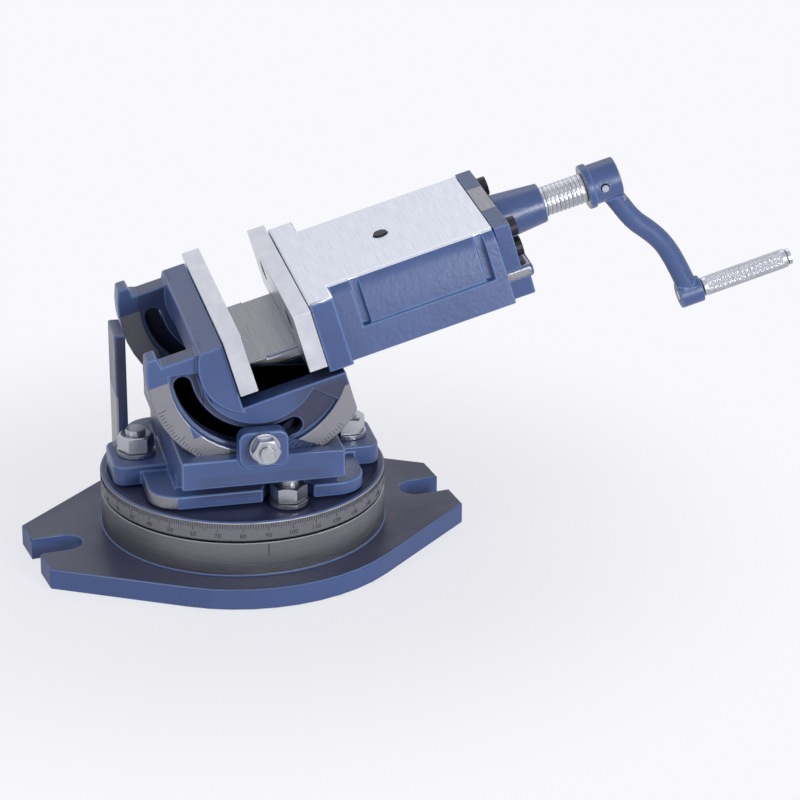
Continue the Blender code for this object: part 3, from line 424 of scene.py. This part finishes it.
# Black filler rubbed into cut marks and figures: flat, dark and dull against the turned steel
engraved = barMetal("filledEngraving", swivelFrame, "#4a4a50", "#36363b", (0.5, 0.6), 0.6,
                    (1, 1, 1), 0.01, 0.2)


def newTree(name, numbers):
    tree = bpy.data.node_groups.new(name, "GeometryNodeTree")
    tree.interface.new_socket("Geometry", in_out="INPUT", socket_type="NodeSocketGeometry")
    for label in numbers:
        tree.interface.new_socket(label, in_out="INPUT", socket_type="NodeSocketFloat")
    tree.interface.new_socket("Geometry", in_out="OUTPUT", socket_type="NodeSocketGeometry")
    return tree, addNode(tree, "NodeGroupInput")


def endTree(tree, geometry, material):
    real = addNode(tree, "GeometryNodeRealizeInstances", {0: geometry})
    dressed = addNode(tree, "GeometryNodeSetMaterial", {0: real, "Material": material})
    addNode(tree, "NodeGroupOutput", {0: dressed})


def growPiece(name, tree, numbers, place, body, seed=None):
    piece = newPiece(name, seed or bpy.data.meshes.new(name))
    grower = piece.modifiers.new("grow", "NODES")
    grower.node_group = tree
    for item in tree.interface.items_tree:
        if item.item_type == "SOCKET" and item.in_out == "INPUT" and item.name in numbers:
            grower[item.identifier] = float(numbers[item.name])
    piece.data = bakedMesh(piece)
    piece.data.name = name
    piece.data.transform(place)
    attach(piece, body)
    return piece


def tickTree(name, onFace):
    # One bar a step round an arc, longer at every fifth and longest at every tenth
    tree, given = newTree(name, ["Count", "Start", "Step", "Radius", "Short", "Middle", "Long",
                                 "Width", "Proud"])
    out = given.outputs
    marks = addNode(tree, "GeometryNodeMeshLine", {"Count": out["Count"]})
    index = addNode(tree, "GeometryNodeInputIndex")
    angle = addNode(tree, "ShaderNodeMath", {0: index, 1: out["Step"], 2: out["Start"]},
                    operation="MULTIPLY_ADD")
    length = out["Short"]
    for every, shorter, longer in ((5.0, "Short", "Middle"), (10.0, "Middle", "Long")):
        rest = addNode(tree, "ShaderNodeMath", {0: index, 1: every}, operation="MODULO")
        due = addNode(tree, "ShaderNodeMath", {0: rest, 1: 0.5}, operation="LESS_THAN")
        more = addNode(tree, "ShaderNodeMath", {0: out[longer], 1: out[shorter]},
                       operation="SUBTRACT")
        length = addNode(tree, "ShaderNodeMath", {0: due, 1: more, 2: length},
                         operation="MULTIPLY_ADD")
    reach = out["Radius"]
    drop = addNode(tree, "ShaderNodeMath", {0: length, 1: -0.5}, operation="MULTIPLY")
    if onFace:
        reach = addNode(tree, "ShaderNodeMath", {0: drop, 1: out["Radius"]}, operation="ADD")
    cosine = addNode(tree, "ShaderNodeMath", {0: angle}, operation="COSINE")
    sine = addNode(tree, "ShaderNodeMath", {0: angle}, operation="SINE")
    x = addNode(tree, "ShaderNodeMath", {0: cosine, 1: reach}, operation="MULTIPLY")
    y = addNode(tree, "ShaderNodeMath", {0: sine, 1: reach}, operation="MULTIPLY")
    spot = addNode(tree, "ShaderNodeCombineXYZ", {0: x, 1: y, 2: 0.0 if onFace else drop})
    placed = addNode(tree, "GeometryNodeSetPosition", {0: marks, "Position": spot})
    bar = addNode(tree, "GeometryNodeMeshCube", {"Size": (1, 1, 1)})
    turnTo = addNode(tree, "ShaderNodeCombineXYZ", {2: angle})
    sides = (length, out["Width"], out["Proud"]) if onFace else (out["Proud"], out["Width"], length)
    size = addNode(tree, "ShaderNodeCombineXYZ", dict(enumerate(sides)))
    bars = addNode(tree, "GeometryNodeInstanceOnPoints", {
        "Points": placed, "Instance": bar, "Rotation": turnTo, "Scale": size})
    endTree(tree, bars, engraved)
    return tree


swivelDial = {"Count": 360, "Start": 0, "Step": math.radians(1), "Radius": 58.54 * mm,
              "Short": 1.9 * mm, "Middle": 2.7 * mm, "Long": 3.4 * mm, "Width": 0.22 * mm,
              "Proud": 0.16 * mm}
swivelIndex = {"Count": 1, "Start": math.radians(262), "Step": 1, "Radius": 58.54 * mm,
               "Short": 5 * mm, "Middle": 5 * mm, "Long": 5 * mm, "Width": 0.4 * mm,
               "Proud": 0.16 * mm}
tiltDial = {"Count": 60, "Start": math.radians(186), "Step": math.radians(2), "Radius": 44.0 * mm,
            "Short": 1.8 * mm, "Middle": 2.6 * mm, "Long": 3.4 * mm, "Width": 0.28 * mm,
            "Proud": 0.12 * mm}
dialPlaces = {"dialTop": 31.6 * mm, "indexTop": 22.6 * mm, "flangeSide": 44.0 * mm}
rimTicks, faceTicks = tickTree("rimTicks", False), tickTree("faceTicks", True)
growPiece("swivelDialMarks", rimTicks, swivelDial,
          swivelFrame @ Matrix.Translation((0, 0, dialPlaces["dialTop"])), "turntable_body")
growPiece("swivelIndexMark", rimTicks, swivelIndex,
          Matrix.Translation((0, 0, dialPlaces["indexTop"])), "base")
faceUp = Matrix.Rotation(math.radians(90), 4, "X")  # lays a dial drawn in XY into the XZ plane
for name, side in (("nearTiltMarks", -1), ("farTiltMarks", 1)):
    flangeFace = Matrix.Translation((0, side * dialPlaces["flangeSide"], 0))
    growPiece(name, faceTicks, tiltDial, tiltFrame @ flangeFace @ faceUp, "tilting_body")
print("dial marks cut")


figures = {"size": 2.7 * mm, "thick": 0.05 * mm, "smooth": 3, "rimRadius": 58.52 * mm,
           "rimHeight": 26.4 * mm, "every": 10}


def onRim(degrees):
    upright = Matrix.Rotation(math.radians(90), 4, "Z") @ Matrix.Rotation(math.radians(90), 4, "X")
    return (swivelFrame @ Matrix.Rotation(math.radians(degrees), 4, "Z")
            @ Matrix.Translation((figures["rimRadius"], 0, figures["rimHeight"])) @ upright)


def cutNumbers(name, body):
    # Plain degrees, 180 to 0 and back: flat text, made a mesh, thickened and set round the rim
    whole = bmesh.new()
    for degrees in range(0, 360, figures["every"]):
        curve = bpy.data.curves.new("figure", "FONT")
        curve.body = str(abs(180 - degrees))
        curve.align_x, curve.align_y = "CENTER", "CENTER"
        curve.size = figures["size"]
        curve.extrude = figures["thick"]
        curve.resolution_u = figures["smooth"]
        holder = newPiece("figure", curve)
        bpy.context.view_layer.update()
        flat = bakedMesh(holder)
        flat.transform(onRim(degrees))
        whole.from_mesh(flat)
        bpy.data.objects.remove(holder)
        bpy.data.meshes.remove(flat)
    mesh = bpy.data.meshes.new(name)
    whole.to_mesh(mesh)
    whole.free()
    mesh.materials.append(engraved)
    piece = newPiece(name, mesh)
    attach(piece, body)


cutNumbers("swivelDialFigures", "turntable_body")
print("dial figures cut")


hexShape = {"chamfer": 0.47, "slope": math.sqrt(3), "round": 48, "boreSides": 32}


def nutTree():
    # A six-sided bar cut to length, its top corners turned off at 30 degrees, bored through
    tree, given = newTree("hexNut", ["AcrossFlats", "Height", "Bore"])
    out = given.outputs
    corner = addNode(tree, "ShaderNodeMath", {0: out["AcrossFlats"], 1: hexShape["slope"]},
                     operation="DIVIDE")
    prism = addNode(tree, "GeometryNodeMeshCylinder",
                    {"Vertices": 6, "Radius": corner, "Depth": out["Height"]}, fill_type="NGON")
    tall = addNode(tree, "ShaderNodeMath", {0: out["Height"], 1: 2.0}, operation="MULTIPLY")
    half = addNode(tree, "ShaderNodeMath", {0: out["AcrossFlats"], 1: hexShape["chamfer"]},
                   operation="MULTIPLY")
    foot = addNode(tree, "ShaderNodeMath", {0: tall, 1: hexShape["slope"], 2: half},
                   operation="MULTIPLY_ADD")
    turnedTop = addNode(tree, "GeometryNodeMeshCone", {
        "Vertices": hexShape["round"], "Radius Top": half, "Radius Bottom": foot,
        "Depth": tall}, fill_type="NGON")
    drop = addNode(tree, "ShaderNodeMath", {0: out["Height"], 1: -1.5}, operation="MULTIPLY")
    low = addNode(tree, "ShaderNodeCombineXYZ", {2: drop})
    coneDown = addNode(tree, "GeometryNodeTransform", {0: turnedTop, "Translation": low})
    chamfered = addNode(tree, "GeometryNodeMeshBoolean", operation="INTERSECT", solver="EXACT")
    tree.links.new(prism.outputs[0], chamfered.inputs[1])
    tree.links.new(coneDown.outputs[0], chamfered.inputs[1])
    bore = addNode(tree, "GeometryNodeMeshCylinder", {
        "Vertices": hexShape["boreSides"], "Radius": out["Bore"], "Depth": tall},
        fill_type="NGON")
    bored = addNode(tree, "GeometryNodeMeshBoolean", {0: chamfered, 1: bore},
                    operation="DIFFERENCE", solver="EXACT")
    rotation = addNode(tree, "GeometryNodeInputNamedAttribute", {"Name": "turn"},
                       data_type="FLOAT_VECTOR")
    nuts = addNode(tree, "GeometryNodeInstanceOnPoints", {
        "Points": out["Geometry"], "Instance": bored, "Rotation": rotation})
    endTree(tree, nuts, zincPlate)
    return tree


def nutSeeds(name, nodes, turns):
    # One point at the middle of each CAD nut, with the way that the nut faces
    mesh = bpy.data.meshes.new(name)
    centres = [tuple(sum(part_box(node), Vector()) / 2) for node in nodes]
    mesh.from_pydata(centres, [], [])
    mark = mesh.attributes.new("turn", "FLOAT_VECTOR", "POINT")
    for number, turn in enumerate(turns):
        mark.data[number].vector = [math.radians(angle) for angle in turn]
    return mesh


hexNut = nutTree()
clampNut = {"AcrossFlats": 13 * mm, "Height": 6.5 * mm, "Bore": 4.1 * mm}
tiltNut = {"AcrossFlats": 10 * mm, "Height": 5.2 * mm, "Bore": 3.1 * mm}
clampNodes = [f"clamp_nut_{number}" for number in (1, 2, 3, 4)]
tiltNodes = sorted(["tilt_nut_1", "tilt_nut_2"], key=lambda node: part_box(node)[0].y)
clampTurns = [(0, 0, angle) for angle in (-83, 97, -8, 172)]  # as each was last tightened
tiltTurns = [(90, 0, -8), (-90, 0, -8)]
for name, size, nodes, turns in (("clampNuts", clampNut, clampNodes, clampTurns),
                                 ("tiltNuts", tiltNut, tiltNodes, tiltTurns)):
    nuts = growPiece(name, hexNut, size, Matrix(), "turntable_body",
                     nutSeeds(name + "Seeds", nodes, turns))
    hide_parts(*nodes)
print("nuts made")


def threadTree(name, material):
    # A ridge wound round a bar, coarse enough to show
    tree, given = newTree(name, ["Radius", "Length", "Pitch", "Ridge"])
    out = given.outputs
    turns = addNode(tree, "ShaderNodeMath", {0: out["Length"], 1: out["Pitch"]},
                    operation="DIVIDE")
    helix = addNode(tree, "GeometryNodeCurveSpiral", {
        "Resolution": 36, "Rotations": turns, "Start Radius": out["Radius"],
        "End Radius": out["Radius"], "Height": out["Length"]})
    profile = addNode(tree, "GeometryNodeCurvePrimitiveCircle", {
        "Resolution": 6, "Radius": out["Ridge"]})
    ridge = addNode(tree, "GeometryNodeCurveToMesh", {0: helix, 1: profile, "Fill Caps": True})
    endTree(tree, ridge, material)
    return tree


alongX = Matrix.Rotation(math.radians(90), 4, "Y")
windings = threadTree("bareThread", zincPlate)
screwThread = {"Radius": 5.35 * mm, "Length": 33 * mm, "Pitch": 4 * mm, "Ridge": 0.85 * mm}
grooving = {"Radius": 5.75 * mm, "Length": 16.2 * mm, "Pitch": 1.8 * mm, "Ridge": 0.55 * mm}
clampThread = {"Radius": 3.85 * mm, "Length": 1.9 * mm, "Pitch": 0.62 * mm, "Ridge": 0.26 * mm}
tiltThread = {**clampThread, "Radius": 2.86 * mm, "Ridge": 0.22 * mm}
threadStarts = {"screw": 37.6 * mm, "grooving": 133.8 * mm, "tiltBolt": (59.3 * mm, 62.0 * mm)}
for name, winding, start in (("leadScrewThread", screwThread, threadStarts["screw"]),
                             ("shankGrooving", grooving, threadStarts["grooving"])):
    growPiece(name, windings, winding, screwFrame @ Matrix.Translation((start, 0, 0)) @ alongX,
              "screw_body")
for number, node in enumerate(clampNodes):
    low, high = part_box(node)
    middle = (low + high) / 2
    growPiece(f"clampBoltThread{number + 1}", windings, clampThread,
              Matrix.Translation((middle.x, middle.y, high.z)), "turntable_body")
for number, side in enumerate((-1, 1)):
    outward = swivelFrame @ Matrix.Rotation(math.radians(-90 * side), 4, "X")
    reach, height = threadStarts["tiltBolt"]
    end = swivelFrame @ Vector((0, side * reach, height))
    growPiece(f"tiltBoltThread{number + 1}", windings, tiltThread,
              Matrix.Translation(end) @ outward, "turntable_body")
print("threads wound")

sleeve = {"start": 188.1, "end": 226.1, "drop": -60.5, "radius": 3.98, "bore": 2.6,
          "starts": 20, "lead": 22.0, "depth": 0.24, "mean": 0.35, "plain": 2.0, "fade": 0.5,
          "round": 0.9, "around": 160, "along": 190}  # mm, and counts


def makeSleeve():
    # Rolled diamond knurl: two crossing sets of fine ridges stand up from the bar
    length = sleeve["end"] - sleeve["start"]
    u = np.linspace(0, length, sleeve["along"])
    turnShare = np.linspace(0, 1, sleeve["around"], endpoint=False)
    uGrid, tGrid = np.meshgrid(u, turnShare, indexing="ij")
    rightHand = np.abs(((tGrid + uGrid / sleeve["lead"]) * sleeve["starts"]) % 1 - 0.5) * 2
    leftHand = np.abs(((tGrid - uGrid / sleeve["lead"]) * sleeve["starts"]) % 1 - 0.5) * 2
    edge = np.minimum(uGrid, length - uGrid)
    rolled = np.clip((edge - sleeve["plain"]) / sleeve["fade"], 0, 1)
    rounding = np.clip((sleeve["round"] - edge) / sleeve["round"], 0, 1)
    ridges = np.minimum(rightHand, leftHand) - sleeve["mean"]
    radius = (sleeve["radius"] + sleeve["depth"] * ridges * rolled
              - sleeve["round"] * (1 - np.sqrt(1 - rounding ** 2)))
    points = [(a, r * math.cos(t * 2 * math.pi), r * math.sin(t * 2 * math.pi))
              for a, r, t in zip(uGrid.ravel(), radius.ravel(), tGrid.ravel())]
    around, along = sleeve["around"], sleeve["along"]
    faces = []
    for i in range(along - 1):
        for j in range(around):
            k = (j + 1) % around
            faces.append((i * around + j, i * around + k, (i + 1) * around + k,
                          (i + 1) * around + j))
    for ringStart, ends in ((0, 0.0), ((along - 1) * around, length)):
        first = len(points)
        points += [(ends, sleeve["bore"] * math.cos(t * 2 * math.pi),
                    sleeve["bore"] * math.sin(t * 2 * math.pi)) for t in turnShare]
        for j in range(around):
            k = (j + 1) % around
            faces.append((ringStart + j, first + j, first + k, ringStart + k))
    firstBore, lastBore = len(points) - 2 * around, len(points) - around
    for j in range(around):
        k = (j + 1) % around
        faces.append((firstBore + j, lastBore + j, lastBore + k, firstBore + k))
    mesh = bpy.data.meshes.new("knurledSleeve")
    mesh.from_pydata([tuple(c * mm for c in p) for p in points], [], faces)
    form = bmesh.new()
    form.from_mesh(mesh)
    bmesh.ops.recalc_face_normals(form, faces=form.faces)
    form.to_mesh(mesh)
    form.free()
    mesh.transform(screwFrame @ Matrix.Translation((sleeve["start"] * mm, 0, sleeve["drop"] * mm)))
    mesh.materials.append(zincPlate)
    piece = newPiece("knurledSleeve", mesh)
    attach(piece, "sleeve_body")
    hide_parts("crank_sleeve")


makeSleeve()
print("sleeve knurled")

# Camera where the photographer stood; angles in degrees, distances in metres
shot = {"azimuth": -20.66, "elevation": 23.24, "distance": 1.4,
        "target": (0.06595, -0.00927, 0.0542), "lens": 152.2, "film": 36, "clipStart": 0.05}


def wayTo(azimuth, elevation):
    # Unit vector towards a place seen from the vise; azimuth 0 is in front of it
    turn, rise = math.radians(azimuth), math.radians(elevation)
    return Vector((math.sin(turn) * math.cos(rise), -math.cos(turn) * math.cos(rise),
                   math.sin(rise)))


back = wayTo(shot["azimuth"], shot["elevation"])
camera = newPiece("camera", bpy.data.cameras.new("camera"))
camera.location = Vector(shot["target"]) + back * shot["distance"]
camera.rotation_euler = (-back).to_track_quat("-Z", "Y").to_euler()
camera.data.lens = shot["lens"]
camera.data.sensor_width = shot["film"]
camera.data.clip_start = shot["clipStart"]
bpy.context.scene.camera = camera

lamps = {
    "frontLamp": {"turn": 14, "rise": 13, "distance": 1.3, "size": 0.45, "power": 9.5},
    "leftLamp": {"turn": -70, "rise": 34, "distance": 1.4, "size": 0.6, "power": 3.0},
    "topLamp": {"turn": 160, "rise": 55, "distance": 1.4, "size": 0.8, "power": 2.2},
}
aim = Vector((0.03, 0, 0.05))
for name, lamp in lamps.items():
    light = bpy.data.lights.new(name, "AREA")
    light.shape = "DISK"
    light.size = lamp["size"]
    light.energy = lamp["power"]
    holder = newPiece(name, light)
    way = wayTo(lamp["turn"], lamp["rise"])
    holder.location = aim + way * lamp["distance"]
    holder.rotation_euler = (-way).to_track_quat("-Z", "Y").to_euler()


def seenDirectly(tree):
    path = addNode(tree, "ShaderNodeLightPath")
    either = addNode(tree, "ShaderNodeMath", {0: path.outputs["Is Camera Ray"],
                                              1: path.outputs["Is Glossy Ray"]},
                     operation="MAXIMUM")
    return addNode(tree, "ShaderNodeMath", {0: either,
                                            1: path.outputs["Is Transmission Ray"]},
                   operation="MAXIMUM").outputs[0]


# Pale seamless studio: the camera and the reflections see it white, the vise gets less light
studio = {"background": "#f8f8fd", "skyLight": 0.30, "paper": "#f2f2f6", "halfSize": 9,
          "floorDrop": 0.0002, "shadowNear": 0.09, "shadowFar": 0.26, "leastGlow": 0.74}
world = bpy.data.worlds.new("paleStudio")
bpy.context.scene.world = world
world.use_nodes = True
sky = world.node_tree
sky.nodes.clear()
strength = addNode(sky, "ShaderNodeMapRange", {
    "Value": seenDirectly(sky), 3: studio["skyLight"], 4: 1.0})
shine = addNode(sky, "ShaderNodeBackground", {
    "Color": linearColour(studio["background"]), "Strength": strength})
addNode(sky, "ShaderNodeOutputWorld", {"Surface": shine})

half, low = studio["halfSize"], -studio["floorDrop"]
floorMesh = bpy.data.meshes.new("floor")
floorMesh.from_pydata([(-half, -half, low), (half, -half, low), (half, half, low),
                       (-half, half, low)], [], [(0, 1, 2, 3)])
floor = newPiece("floor", floorMesh)
# Matt paper that glows where it is seen from afar, so that only the vise's own shadow shows
paper = bpy.data.materials.new("seamlessPaper")
paper.use_nodes = True
sheet = paper.node_tree
sheet.nodes.clear()
matte = addNode(sheet, "ShaderNodeBsdfDiffuse", {"Color": linearColour(studio["paper"])})
glow = addNode(sheet, "ShaderNodeEmission", {
    "Color": linearColour(studio["background"]), "Strength": 1.0})
spot = addNode(sheet, "ShaderNodeTexCoord")
reach = addNode(sheet, "ShaderNodeVectorMath", {0: spot.outputs["Object"]}, operation="LENGTH")
fade = addNode(sheet, "ShaderNodeMapRange", {
    "Value": reach.outputs["Value"], 1: studio["shadowNear"], 2: studio["shadowFar"],
    3: studio["leastGlow"], 4: 1.0}, interpolation_type="SMOOTHSTEP")
share = addNode(sheet, "ShaderNodeMath", {0: fade, 1: seenDirectly(sheet)},
                operation="MULTIPLY")
mixed = addNode(sheet, "ShaderNodeMixShader", {0: share, 1: matte, 2: glow})
addNode(sheet, "ShaderNodeOutputMaterial", {"Surface": mixed})
floorMesh.materials.append(paper)

bpy.context.scene.view_settings.view_transform = "Standard"
print("camera, lamps and floor set")
